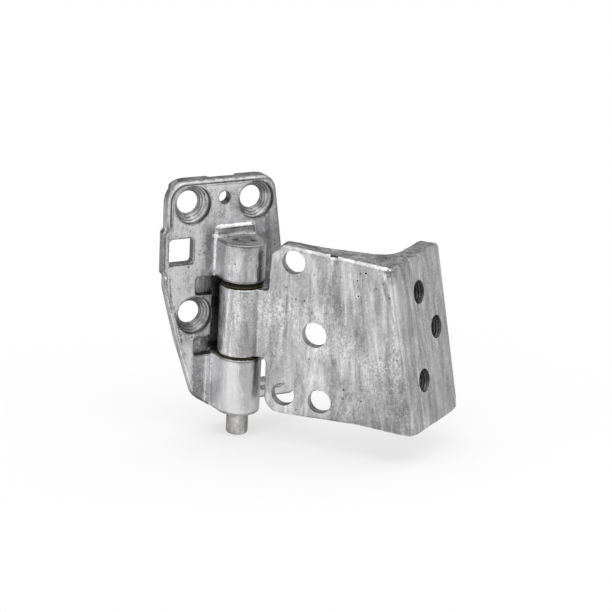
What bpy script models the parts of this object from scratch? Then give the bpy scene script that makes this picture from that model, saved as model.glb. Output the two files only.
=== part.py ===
"""Truck door hinge: a pillar bracket with two knuckles, a door bracket with one
knuckle between them, and a steel pin that both turn about.

The frame has its origin on the pillar bracket's mounting face, straight behind the
middle of the door knuckle. +X runs to the right along the pillar, +Y into the pillar
and +Z up, along the hinge pin.
"""
import math

import bmesh
import bpy
from mathutils import Matrix, Vector

MM = 0.001
DEG = math.pi / 180

# Hinge pin and knuckles
PIN_RADIUS = 6.0 * MM
PIN_CHAMFER = 1.0 * MM
PIN_TAIL = 13.2 * MM
PIN_HEAD_SINK = 0.4 * MM
KNUCKLE_RADIUS = 12.0 * MM
DOOR_KNUCKLE_RADIUS = 12.4 * MM
KNUCKLE_EDGE = 0.6 * MM
UPPER_KNUCKLE_HEIGHT = 21.8 * MM
LOWER_KNUCKLE_HEIGHT = 32.6 * MM
DOOR_KNUCKLE_HEIGHT = 38.6 * MM
STAKE_RADIUS = 0.8 * MM
STAKE_PLACE = (3.9 * MM, 2.1 * MM)

# Clearances
RUNNING_GAP = 0.08 * MM
PRESS_GAP = 0.10 * MM
FACE_GAP = 0.3 * MM
KNUCKLE_POCKET_GAP = 2.4 * MM

# Bushes and washer
BUSH_WALL = 1.5 * MM
BUSH_LENGTH = 15.0 * MM
UPPER_FLANGE = 1.0 * MM
LOWER_FLANGE = 0.7 * MM
WASHER_THICKNESS = 1.0 * MM
RING_INSET = 0.5 * MM

# Pillar bracket: plate, pads and outline
AXIS_STANDOFF = 18.5 * MM
PAD_THICKNESS = 8.5 * MM
PLATE_THICKNESS = 5.5 * MM
LEAF_BOTTOM = -52.9 * MM
LEAF_LEFT = -41.4 * MM
LEAF_TOP_RIGHT = 22.3 * MM
LEAF_BOTTOM_RIGHT = 42.0 * MM
LEAF_WAIST = (-33.9 * MM, -11.3 * MM)
LEAF_LOW_CORNER = (-22.4 * MM, -46.4 * MM)
LEAF_BOTTOM_LEFT = -12.5 * MM
LEAF_LEFT_LOW = 17.5 * MM
TAB_DEPTH = 1.6 * MM
TAB_TOP = 50.5 * MM
TAB_BOTTOM = 24.5 * MM
TOP_LEFT_ROUND = 11.5 * MM
TOP_RIGHT_ROUND = 10.0 * MM
LOW_ROUND = 3.5 * MM
LOW_CORNER_ROUND = 9.0 * MM
WAIST_ROUND = 60.0 * MM
LEAF_EDGE = 1.0 * MM

# Pillar bracket: screw holes
SCREW_RADIUS = 6.2 * MM
SCREW_HEAD_RADIUS = 10.6 * MM
SCREW_RECESS = 2.7 * MM
SCREW_SKIM = 0.1 * MM
SCREW_PANEL_GAP = 1.7 * MM
SCREW_EDGE_GAP = 3.0 * MM
LEFT_SCREW_X = -26.3 * MM
RIGHT_SCREW_X = 11.4 * MM
MIDDLE_SCREW = (-23.6 * MM, 0.8 * MM)
DOWEL_RADIUS = 3.45 * MM
DOWEL_X = -7.6 * MM
DOWEL_RISE = 2.8 * MM

# Pillar bracket: pads and spine left standing on the back
PAD_LEFT = 11.2 * MM
PAD_SIDE = 10.2 * MM
PAD_ROUND = 2.2 * MM
SPINE_HALF = 13.5 * MM
TOP_RIB = 3.4 * MM
MIDDLE_PAD_LEFT = -32.5 * MM
POCKET_BACK_LEFT = -27.0 * MM
POCKET_BACK_HALF = 25.0 * MM

# Pillar bracket: windows and pocket
WINDOW = (-32.3 * MM, 37.7 * MM)
WINDOW_SIZE = (14.2 * MM, 13.6 * MM)
WINDOW_ROUND = 2.0 * MM
LOWER_WINDOW_LEFT = 16.5 * MM
LOWER_WINDOW_RIGHT = 34.5 * MM
LOWER_WINDOW_TOP = -30.0 * MM
LOWER_WINDOW_BOTTOM = -43.3 * MM
LOWER_WINDOW_ROUND = 5.0 * MM
SHELF_HEIGHT = 4.0 * MM
SHELF_SIDE = 0.5 * MM
SHELF_DEPTH = 2.2 * MM
POCKET_LEFT = -22.8 * MM
POCKET_RIGHT = 27.0 * MM
POCKET_TOP_LIP = 0.3 * MM
POCKET_BOTTOM_GAP = 1.9 * MM
POCKET_ROUND = 1.6 * MM
TONGUE_REACH = -12.8 * MM
TONGUE_TOP = 11.7 * MM
TONGUE_BOTTOM = -12.1 * MM

# Pillar bracket: raised panel behind the upper knuckle, scooped out above it
PANEL_RISE = 2.0 * MM
PANEL_LEFT = -13.0 * MM
PANEL_RIGHT = 11.6 * MM
PANEL_OVER_KNUCKLE = 6.5 * MM
PANEL_SLOPE = 1.6 * MM
SCOOP_RADIUS = 35.0 * MM
SCOOP_X = 5.0 * MM
SCOOP_HEIGHT = 4.9 * MM
SCOOP_SKIM = 0.05 * MM

# Door bracket, in its own frame: +X along the plate, +Y away from its front face
DOOR_ANGLE = -48.6 * DEG
FRONT_OFFSET = 5.6 * MM
DOOR_PLATE_THICKNESS = 10.0 * MM
DOOR_LEFT = 17.0 * MM
DOOR_TOP_LEFT = 47.9 * MM
DOOR_TOP_SLOPE = 0.0803
DOOR_TOP_TILT = 0.04
DOOR_BOTTOM_LEFT = -49.3 * MM
DOOR_BOTTOM_KNEE = (71.0 * MM, -48.2 * MM)
DOOR_BOTTOM_SLOPE = 0.062
TOP_CORNER_CUT = 6.8 * MM
BOTTOM_CORNER_ROUND = 9.0 * MM
FLANGE_REACH = 92.8 * MM
FLANGE_DEPTH = 57.5 * MM
FLANGE_THICKNESS = 10.0 * MM
FLANGE_OPENING = 8.6 * DEG
FLANGE_LEAN = 0.193
GUSSET_START = 36.8 * MM
GUSSET_SLOPE = 0.214
INNER_FILLET = 20.0 * MM
DOOR_EDGE = 1.6 * MM
ARM_INSET = 0.3 * MM
ARM_CORNER = 2.5 * MM
FLANGE_END_ROUND = 4.5 * MM

# Door bracket: bolt holes through the plate, tapped holes in the flange
BOLT_RADIUS = 6.5 * MM
MIDDLE_BOLT_RADIUS = 6.9 * MM
BOLT_SEAT_RADIUS = 9.5 * MM
UPPER_SEAT_RADIUS = 8.2 * MM
BOLT_WEB = 5.4 * MM
UPPER_BOLT = (30.6 * MM, 37.2 * MM)
MIDDLE_BOLT = (44.2 * MM, -1.4 * MM)
LOWER_LEFT_BOLT = (27.9 * MM, -37.7 * MM)
LOWER_RIGHT_BOLT = (48.9 * MM, -38.6 * MM)
TAP_RADIUS = 5.4 * MM
TAP_MOUTH_RADIUS = 6.3 * MM
TAP_BACK_INSET = 13.9 * MM
TAPPED_HOLES = ((27.2 * MM, 22.7 * MM), (FLANGE_DEPTH - TAP_BACK_INSET, -0.4 * MM),
                (22.6 * MM, -24.4 * MM))
NOTCH_X = 52.6 * MM
NOTCH_WIDTH = 4.0 * MM
NOTCH_DEPTH = 1.6 * MM

# Facets
ROUND_STEPS = 48
HOLE_STEPS = 40
CORNER_STEPS = 6
FILLET_STEPS = 10
OVERRUN = 5.0 * MM
CONE_TIP = 0.5 * MM

# Sizes that follow
AXIS = Vector((0, -AXIS_STANDOFF, 0))
PLATE_FRONT = -PAD_THICKNESS
PLATE_BACK = PLATE_FRONT + PLATE_THICKNESS
DOOR_KNUCKLE_TOP = DOOR_KNUCKLE_HEIGHT / 2
DOOR_KNUCKLE_BOTTOM = -DOOR_KNUCKLE_HEIGHT / 2
UPPER_KNUCKLE_BOTTOM = DOOR_KNUCKLE_TOP + UPPER_FLANGE + WASHER_THICKNESS + 3 * FACE_GAP
UPPER_KNUCKLE_TOP = UPPER_KNUCKLE_BOTTOM + UPPER_KNUCKLE_HEIGHT
LOWER_KNUCKLE_TOP = DOOR_KNUCKLE_BOTTOM - LOWER_FLANGE - 2 * FACE_GAP
LOWER_KNUCKLE_BOTTOM = LOWER_KNUCKLE_TOP - LOWER_KNUCKLE_HEIGHT
PIN_TOP = UPPER_KNUCKLE_TOP - PIN_HEAD_SINK
PIN_BOTTOM = LOWER_KNUCKLE_BOTTOM - PIN_TAIL
BUSH_BORE = PIN_RADIUS + RUNNING_GAP
BUSH_RADIUS = BUSH_BORE + BUSH_WALL
RING_RADIUS = KNUCKLE_RADIUS - RING_INSET
PANEL_TOP = UPPER_KNUCKLE_TOP + PANEL_OVER_KNUCKLE
TOP_SCREW_HEIGHT = PANEL_TOP + SCREW_HEAD_RADIUS + SCREW_PANEL_GAP
LEAF_TOP = TOP_SCREW_HEIGHT + SCREW_HEAD_RADIUS + SCREW_EDGE_GAP
DOWEL_HEIGHT = TOP_SCREW_HEIGHT + DOWEL_RISE
PAD_BOTTOM = TOP_SCREW_HEIGHT - PAD_SIDE
POCKET_FLOOR = -AXIS_STANDOFF + KNUCKLE_RADIUS + KNUCKLE_POCKET_GAP
ROOT = POCKET_FLOOR / 2
DOOR_BACK = DOOR_PLATE_THICKNESS - FRONT_OFFSET
DOOR_FRAME = Matrix.Translation(AXIS) @ Matrix.Rotation(DOOR_ANGLE, 4, "Z")
SHOWN_LINE = "WIRE"


def clear_scene():
    for item in list(bpy.data.objects):
        bpy.data.objects.remove(item, do_unlink=True)


def new_collection(name):
    collection = bpy.data.collections.new(name)
    bpy.context.scene.collection.children.link(collection)
    return collection


clear_scene()
PARTS = new_collection("truck_door_hinge")
CUTTERS = new_collection("cutters")


def new_material(name, colour, roughness, metallic):
    material = bpy.data.materials.new(name)
    material.use_nodes = True
    shader = material.node_tree.nodes["Principled BSDF"]
    shader.inputs["Base Color"].default_value = (*colour, 1)
    shader.inputs["Roughness"].default_value = roughness
    shader.inputs["Metallic"].default_value = metallic
    return material


def add_object(name, mesh, collection=PARTS):
    item = bpy.data.objects.new(name, mesh)
    collection.objects.link(item)
    return item


def helper(name, mesh):
    """An object that only cuts or is joined to another."""
    item = add_object(name, mesh, CUTTERS)
    item.hide_render = True
    item.display_type = SHOWN_LINE
    return item


def mesh_from(bm, name):
    mesh = bpy.data.meshes.new(name)
    bm.to_mesh(mesh)
    bm.free()
    return mesh


def box(name, low, high):
    low, high = Vector(low), Vector(high)
    bm = bmesh.new()
    bmesh.ops.create_cube(bm, size=1)
    size = Matrix.Diagonal((*(high - low), 1))
    bmesh.ops.transform(bm, matrix=Matrix.Translation((low + high) / 2) @ size, verts=bm.verts)
    return helper(name, mesh_from(bm, name))


def cone(name, start, end, start_radius, end_radius, steps=HOLE_STEPS):
    """A cylinder or cone from the start point to the end point."""
    start, end = Vector(start), Vector(end)
    along = end - start
    bm = bmesh.new()
    bmesh.ops.create_cone(bm, cap_ends=True, segments=steps, radius1=start_radius,
                          radius2=end_radius, depth=along.length)
    turn = Vector((0, 0, 1)).rotation_difference(along).to_matrix().to_4x4()
    bmesh.ops.transform(bm, matrix=Matrix.Translation((start + end) / 2) @ turn, verts=bm.verts)
    return helper(name, mesh_from(bm, name))


def upright(name, centre, radius, low, high, steps=ROUND_STEPS):
    """A cylinder that stands along Z."""
    x, y = centre[0], centre[1]
    return cone(name, (x, y, low), (x, y, high), radius, radius, steps)


def rounded(corners):
    """The points of an outline whose corners are (x, y, radius)."""
    points = []
    for index, (x, y, radius) in enumerate(corners):
        here = Vector((x, y))
        before = Vector(corners[index - 1][:2]) - here
        after = Vector(corners[(index + 1) % len(corners)][:2]) - here
        if radius == 0:
            points.append(here)
            continue
        half = before.angle(after) / 2
        before.normalize()
        after.normalize()
        centre = here + (before + after).normalized() * radius / math.sin(half)
        first = here + before * radius / math.tan(half) - centre
        last = here + after * radius / math.tan(half) - centre
        sweep = first.angle_signed(last)
        steps = max(2, round(CORNER_STEPS * abs(sweep) / (math.pi / 2)))
        for step in range(steps + 1):
            turned = first.copy()
            turned.rotate(Matrix.Rotation(-sweep * step / steps, 2))
            points.append(centre + turned)
    return points


def rectangle(left, right, bottom, top, radius):
    return rounded([(left, top, radius), (right, top, radius),
                    (right, bottom, radius), (left, bottom, radius)])


def plate(name, points, thickness, edge=0, steps=1):
    """A flat outline in XY, extruded along Z about zero, with its edges rounded in steps."""
    curve = bpy.data.curves.new(name, "CURVE")
    curve.dimensions = "2D"
    curve.fill_mode = "BOTH"
    curve.extrude = thickness / 2 - edge
    curve.bevel_depth = edge
    curve.bevel_resolution = steps - 1
    curve.offset = -edge
    spline = curve.splines.new("POLY")
    spline.points.add(len(points) - 1)
    for place, (x, y) in zip(spline.points, points):
        place.co = (x, y, 0, 1)
    spline.use_cyclic_u = True
    shape = add_object(name + "_outline", curve, CUTTERS)
    bpy.context.view_layer.update()
    mesh = bpy.data.meshes.new_from_object(shape.evaluated_get(bpy.context.evaluated_depsgraph_get()))
    bpy.data.objects.remove(shape, do_unlink=True)
    bm = bmesh.new()
    bm.from_mesh(mesh)
    bmesh.ops.remove_doubles(bm, verts=bm.verts, dist=0.001 * MM)
    bmesh.ops.recalc_face_normals(bm, faces=bm.faces)
    return helper(name, mesh_from(bm, name))


def wall(name, points, front, back, edge=0, steps=1):
    """An outline in X and Z, as thick as the space from front to back along Y."""
    item = plate(name, points, back - front, edge, steps)
    stand = Matrix.Translation((0, (front + back) / 2, 0)) @ Matrix.Rotation(math.pi / 2, 4, "X")
    item.data.transform(stand)
    return item


def turned(name, profile, material):
    """A ring or shaft about the hinge axis, from (radius, height) points, top to bottom."""
    bm = bmesh.new()
    rim = [bm.verts.new((radius, 0, height)) for radius, height in profile]
    for first, second in zip(rim, rim[1:] + rim[:1]):
        if first.co.x > 0 or second.co.x > 0:
            bm.edges.new((first, second))
    item = add_object(name, mesh_from(bm, name))
    item.location = AXIS
    screw = item.modifiers.new("turn", "SCREW")
    screw.axis = "Z"
    screw.steps = ROUND_STEPS
    screw.render_steps = ROUND_STEPS
    screw.use_merge_vertices = True
    screw.merge_threshold = 0.01 * MM
    item.data.materials.append(material)
    return item


def boolean(item, other, operation):
    modifier = item.modifiers.new(other.name, "BOOLEAN")
    modifier.object = other
    modifier.operation = operation
    modifier.solver = "EXACT"


def chamfer_edges(item, width):
    """Chamfers the edges that turn by more than the small steps of an arc."""
    modifier = item.modifiers.new("edges", "BEVEL")
    modifier.width = width
    modifier.segments = 1
    modifier.limit_method = "ANGLE"
    modifier.angle_limit = 50 * DEG


def place(items, frame):
    for item in items:
        item.matrix_world = frame @ item.matrix_world


def leaf_outline():
    """The pillar plate seen from the front, in X and Z, from its top left corner."""
    tab = LEAF_LEFT - TAB_DEPTH
    return rounded([
        (LEAF_LEFT, LEAF_TOP, TOP_LEFT_ROUND),
        (LEAF_TOP_RIGHT, LEAF_TOP, TOP_RIGHT_ROUND),
        (LEAF_BOTTOM_RIGHT, LEAF_BOTTOM, LOW_ROUND),
        (LEAF_BOTTOM_LEFT, LEAF_BOTTOM, 0),
        (*LEAF_LOW_CORNER, LOW_CORNER_ROUND),
        (*LEAF_WAIST, WAIST_ROUND),
        (LEAF_LEFT, LEAF_LEFT_LOW, WAIST_ROUND / 4),
        (LEAF_LEFT, TAB_BOTTOM, 0),
        (tab, TAB_BOTTOM + TAB_DEPTH, 0),
        (tab, TAB_TOP - TAB_DEPTH, 0),
        (LEAF_LEFT, TAB_TOP, 0),
    ])


def relief_outlines(outside):
    """The hollows on the back. They leave pads round the screws and a central spine."""
    left = [
        (-outside, outside, 0),
        (LEFT_SCREW_X - PAD_LEFT, outside, 0),
        (LEFT_SCREW_X - PAD_LEFT, PAD_BOTTOM, PAD_ROUND),
        (-SPINE_HALF, PAD_BOTTOM, PAD_ROUND),
        (-SPINE_HALF, POCKET_BACK_HALF, PAD_ROUND),
        (POCKET_BACK_LEFT, POCKET_BACK_HALF, PAD_ROUND),
        (POCKET_BACK_LEFT, MIDDLE_SCREW[1] + PAD_SIDE, PAD_ROUND),
        (MIDDLE_PAD_LEFT, MIDDLE_SCREW[1] + PAD_SIDE, PAD_ROUND),
        (MIDDLE_PAD_LEFT, MIDDLE_SCREW[1] - PAD_SIDE, PAD_ROUND),
        (POCKET_BACK_LEFT, MIDDLE_SCREW[1] - PAD_SIDE, PAD_ROUND),
        (POCKET_BACK_LEFT, -POCKET_BACK_HALF, PAD_ROUND),
        (-SPINE_HALF, -POCKET_BACK_HALF, PAD_ROUND),
        (-SPINE_HALF, -outside, 0),
        (-outside, -outside, 0),
    ]
    right = rectangle(SPINE_HALF, outside, POCKET_BACK_HALF, PAD_BOTTOM, PAD_ROUND)
    top = rectangle(LEFT_SCREW_X + PAD_LEFT, RIGHT_SCREW_X - PAD_SIDE, PAD_BOTTOM + TOP_RIB,
                    outside, PAD_ROUND)
    return {"left_relief": rounded(left), "right_relief": right, "top_relief": top}


def pocket_outline():
    """The hollow that the door knuckle turns in, round the tongue of the middle screw."""
    top = UPPER_KNUCKLE_BOTTOM - POCKET_TOP_LIP
    bottom = LOWER_KNUCKLE_TOP - POCKET_BOTTOM_GAP
    return rounded([
        (POCKET_LEFT, top, POCKET_ROUND),
        (POCKET_RIGHT, top, POCKET_ROUND),
        (POCKET_RIGHT, bottom, POCKET_ROUND),
        (POCKET_LEFT, bottom, POCKET_ROUND),
        (POCKET_LEFT, TONGUE_BOTTOM, POCKET_ROUND),
        (TONGUE_REACH, TONGUE_BOTTOM, 0),
        (TONGUE_REACH, TONGUE_TOP, 0),
        (POCKET_LEFT, TONGUE_TOP, POCKET_ROUND),
    ])


def knuckle_block(name, low, high):
    """A barrel round the pin, with straight sides that run back into the plate."""
    sides = plate(name, block_outline(), high - low, KNUCKLE_EDGE)
    sides.data.transform(Matrix.Translation((0, 0, (low + high) / 2)))
    return sides


def block_outline():
    steps = ROUND_STEPS // 2
    arc = []
    for step in range(steps + 1):
        angle = math.pi + math.pi * step / steps
        arc.append((KNUCKLE_RADIUS * math.cos(angle), AXIS.y + KNUCKLE_RADIUS * math.sin(angle)))
    return [(-KNUCKLE_RADIUS, ROOT), *arc, (KNUCKLE_RADIUS, ROOT)]


def countersink(name, mouth, inward, radius, steps=HOLE_STEPS):
    """A right-angled cone of this radius at the mouth, down to a small tip inside the hole."""
    mouth = Vector(mouth)
    return cone(name, mouth - inward * OVERRUN, mouth + inward * (radius - CONE_TIP),
                radius + OVERRUN, CONE_TIP, steps)


def screw_hole(item, x, z, number):
    """A round recess, a countersink below it, and a hole on to the mounting face."""
    front = PLATE_FRONT
    hole = cone(f"screw_hole_{number}", (x, front - OVERRUN, z), (x, OVERRUN, z),
                SCREW_RADIUS, SCREW_RADIUS)
    recess = cone(f"screw_recess_{number}", (x, front - OVERRUN, z), (x, front + SCREW_RECESS, z),
                  SCREW_HEAD_RADIUS, SCREW_HEAD_RADIUS)
    taper = cone(f"screw_taper_{number}", (x, front + SCREW_RECESS - SCREW_SKIM, z),
                 (x, front + SCREW_RECESS + SCREW_HEAD_RADIUS - CONE_TIP, z),
                 SCREW_HEAD_RADIUS - SCREW_SKIM, CONE_TIP - SCREW_SKIM)
    for cutter in (hole, recess, taper):
        boolean(item, cutter, "DIFFERENCE")


def build_pillar_bracket(material):
    leaf = wall("leaf", leaf_outline(), PLATE_FRONT, 0, LEAF_EDGE, 2)
    bracket = add_object("pillar_bracket", leaf.data)
    bracket.data.materials.append(material)

    for name, points in relief_outlines(LEAF_TOP + OVERRUN).items():
        boolean(bracket, wall(name, points, PLATE_BACK, OVERRUN), "DIFFERENCE")

    # Raised panel with sloping sides behind the upper knuckle
    panel = wall("panel", rectangle(PANEL_LEFT, PANEL_RIGHT, UPPER_KNUCKLE_BOTTOM + PANEL_SLOPE,
                                    PANEL_TOP, 2 * PANEL_SLOPE), PLATE_FRONT - PANEL_RISE, ROOT,
                 PANEL_SLOPE)
    boolean(bracket, panel, "UNION")

    # Pocket for the door knuckle, then the two knuckles above and below it
    pocket = wall("pocket", pocket_outline(), PLATE_FRONT - PANEL_RISE - OVERRUN, POCKET_FLOOR)
    boolean(bracket, pocket, "DIFFERENCE")
    upper = knuckle_block("upper_knuckle", UPPER_KNUCKLE_BOTTOM, UPPER_KNUCKLE_TOP)
    lower = knuckle_block("lower_knuckle", LOWER_KNUCKLE_BOTTOM, LOWER_KNUCKLE_TOP)
    boolean(bracket, upper, "UNION")
    boolean(bracket, lower, "UNION")
    scoop = upright("scoop", (SCOOP_X, PLATE_FRONT - SCOOP_RADIUS), SCOOP_RADIUS,
                    UPPER_KNUCKLE_TOP - SCOOP_SKIM, UPPER_KNUCKLE_TOP + SCOOP_HEIGHT, 2 * ROUND_STEPS)
    boolean(bracket, scoop, "DIFFERENCE")

    # Bores, holes and windows
    bore = upright("pin_bore", AXIS, PIN_RADIUS + PRESS_GAP, LOWER_KNUCKLE_BOTTOM - OVERRUN,
                   UPPER_KNUCKLE_TOP + OVERRUN)
    boolean(bracket, bore, "DIFFERENCE")
    screws = ((LEFT_SCREW_X, TOP_SCREW_HEIGHT), (RIGHT_SCREW_X, TOP_SCREW_HEIGHT), MIDDLE_SCREW)
    for number, (x, z) in enumerate(screws):
        screw_hole(bracket, x, z, number)
    dowel = cone("dowel_hole", (DOWEL_X, PLATE_FRONT - OVERRUN, DOWEL_HEIGHT),
                 (DOWEL_X, OVERRUN, DOWEL_HEIGHT), DOWEL_RADIUS, DOWEL_RADIUS)
    boolean(bracket, dowel, "DIFFERENCE")
    x, z = WINDOW
    wide, high = WINDOW_SIZE[0] / 2, WINDOW_SIZE[1] / 2
    window = wall("window", rectangle(x - wide, x + wide, z - high, z + high, WINDOW_ROUND),
                  PLATE_FRONT - OVERRUN, OVERRUN)
    boolean(bracket, window, "DIFFERENCE")
    lower_window = wall("lower_window", rectangle(
        LOWER_WINDOW_LEFT, LOWER_WINDOW_RIGHT, LOWER_WINDOW_BOTTOM, LOWER_WINDOW_TOP,
        LOWER_WINDOW_ROUND), PLATE_FRONT - OVERRUN, OVERRUN)
    shelf = wall("shelf", rectangle(
        LOWER_WINDOW_LEFT - SHELF_SIDE, LOWER_WINDOW_RIGHT + SHELF_SIDE,
        LOWER_WINDOW_BOTTOM - SHELF_HEIGHT, LOWER_WINDOW_TOP - SHELF_HEIGHT, LOWER_WINDOW_ROUND),
        PLATE_FRONT - OVERRUN, PLATE_FRONT + SHELF_DEPTH)
    boolean(bracket, lower_window, "DIFFERENCE")
    boolean(bracket, shelf, "DIFFERENCE")
    return bracket


def flange_plan():
    """The door bracket seen from above: front face, flange, inner fillet, gusset, back face."""
    splay = math.tan(FLANGE_OPENING)
    front = -FRONT_OFFSET
    end = front + FLANGE_DEPTH
    outer_end = FLANGE_REACH + FLANGE_DEPTH * splay
    across = FLANGE_THICKNESS / math.cos(FLANGE_OPENING)

    # The fillet touches the flange's inner face and the sloping back of the gusset
    flange_line = Vector((math.cos(FLANGE_OPENING), -math.sin(FLANGE_OPENING)))
    flange_reach = flange_line.x * (FLANGE_REACH - across) - flange_line.y * FRONT_OFFSET
    slope = math.atan(GUSSET_SLOPE)
    gusset_line = Vector((-math.sin(slope), math.cos(slope)))
    gusset_reach = gusset_line.dot(Vector((GUSSET_START, DOOR_BACK)))
    level = flange_reach - INNER_FILLET
    lift = gusset_reach + INNER_FILLET
    cross = flange_line.x * gusset_line.y - flange_line.y * gusset_line.x
    centre = Vector(((level * gusset_line.y - lift * flange_line.y) / cross,
                     (lift * flange_line.x - level * gusset_line.x) / cross))
    points = [Vector((0, front)), Vector((FLANGE_REACH, front)), Vector((outer_end, end)),
              Vector((outer_end - across, end))]
    sweep = math.pi / 2 - FLANGE_OPENING - slope
    for step in range(FILLET_STEPS + 1):
        angle = -FLANGE_OPENING - sweep * step / FILLET_STEPS
        points.append(centre + INNER_FILLET * Vector((math.cos(angle), math.sin(angle))))
    return [*points, Vector((GUSSET_START, DOOR_BACK)), Vector((0, DOOR_BACK))]


def lean_flange(item):
    """Leans the flange outwards towards the bottom, and leaves the plate's hinge end upright."""
    start = UPPER_BOLT[0]
    for vertex in item.data.vertices:
        share = (vertex.co.x - start) / (FLANGE_REACH - start)
        vertex.co.x -= FLANGE_LEAN * vertex.co.z * min(max(share, 0), 1)


def door_front_outline():
    """The door plate and its arm seen from the front, in X and Z."""
    beyond = FLANGE_REACH + FLANGE_DEPTH
    arm_top = DOOR_KNUCKLE_TOP - ARM_INSET
    arm_bottom = DOOR_KNUCKLE_BOTTOM + ARM_INSET
    top_left = door_top(DOOR_LEFT)
    knee_x, knee_z = DOOR_BOTTOM_KNEE
    return rounded([
        (0, arm_top, 0),
        (DOOR_LEFT, arm_top, ARM_CORNER),
        (DOOR_LEFT, top_left - TOP_CORNER_CUT, 0),
        (DOOR_LEFT + TOP_CORNER_CUT, door_top(DOOR_LEFT + TOP_CORNER_CUT), 0),
        (beyond, door_top(beyond), 0),
        (beyond, knee_z - DOOR_BOTTOM_SLOPE * (beyond - knee_x), 0),
        (knee_x, knee_z, 0),
        (DOOR_LEFT, DOOR_BOTTOM_LEFT, BOTTOM_CORNER_ROUND),
        (DOOR_LEFT, arm_bottom, ARM_CORNER),
        (0, arm_bottom, 0),
    ])


def door_top(x):
    return DOOR_TOP_LEFT - DOOR_TOP_SLOPE * x


def door_outline_solid():
    """The front outline, run back through the whole depth, with its top rising to the back."""
    item = wall("door_outline", door_front_outline(), -FRONT_OFFSET - OVERRUN,
                FLANGE_DEPTH + OVERRUN)
    for vertex in item.data.vertices:
        if vertex.co.z > DOOR_KNUCKLE_TOP:
            vertex.co.z += DOOR_TOP_TILT * (vertex.co.y + FRONT_OFFSET)
    return item


def top_edge_cutter():
    """A long square bar, set on its corner, that chamfers the plate's top front edge."""
    start = DOOR_LEFT + TOP_CORNER_CUT
    half = DOOR_EDGE / math.sqrt(2)
    middle = (start + FLANGE_REACH) / 2
    bar = box("top_edge", (-FLANGE_REACH, -half, -half), (FLANGE_REACH, half, half))
    tip = Matrix.Rotation(math.atan(DOOR_TOP_SLOPE), 4, "Y") @ Matrix.Rotation(math.pi / 4, 4, "X")
    centre = Matrix.Translation((middle, -FRONT_OFFSET, door_top(middle)))
    bar.data.transform(centre @ tip)
    return bar


def flange_end_solid():
    """The bracket seen from the flange's side, with rounded corners at the flange's end."""
    end = FLANGE_DEPTH - FRONT_OFFSET
    reach = FLANGE_REACH
    top = door_top(reach) + DOOR_TOP_TILT * FLANGE_DEPTH
    bottom = DOOR_BOTTOM_KNEE[1] - DOOR_BOTTOM_SLOPE * (reach + FLANGE_THICKNESS * 2
                                                        - DOOR_BOTTOM_KNEE[0])
    outline = rounded([
        (-OVERRUN * 4, top + reach / 4, 0),
        (end, top, FLANGE_END_ROUND),
        (end, bottom, FLANGE_END_ROUND),
        (-OVERRUN * 4, bottom - reach / 4, 0),
    ])
    item = plate("flange_end", outline, reach * 2)
    turn = Matrix(((0, 0, 1), (1, 0, 0), (0, 1, 0))).to_4x4()
    item.data.transform(Matrix.Translation((reach, 0, 0)) @ turn)
    return item


def flange_frame():
    """Origin on the flange's outer face at the front corner, at the height of z = 0.

    +X runs along the face, away from the front corner, +Z out of the face.
    """
    along = Vector((math.sin(FLANGE_OPENING), math.cos(FLANGE_OPENING), 0))
    down = Vector((FLANGE_LEAN, 0, -1)).normalized()
    out = down.cross(along).normalized()
    if out.x < 0:
        out = -out
    side = out.cross(along)
    frame = Matrix((along, side, out)).transposed().to_4x4()
    return Matrix.Translation((FLANGE_REACH, -FRONT_OFFSET, 0)) @ frame


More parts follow.
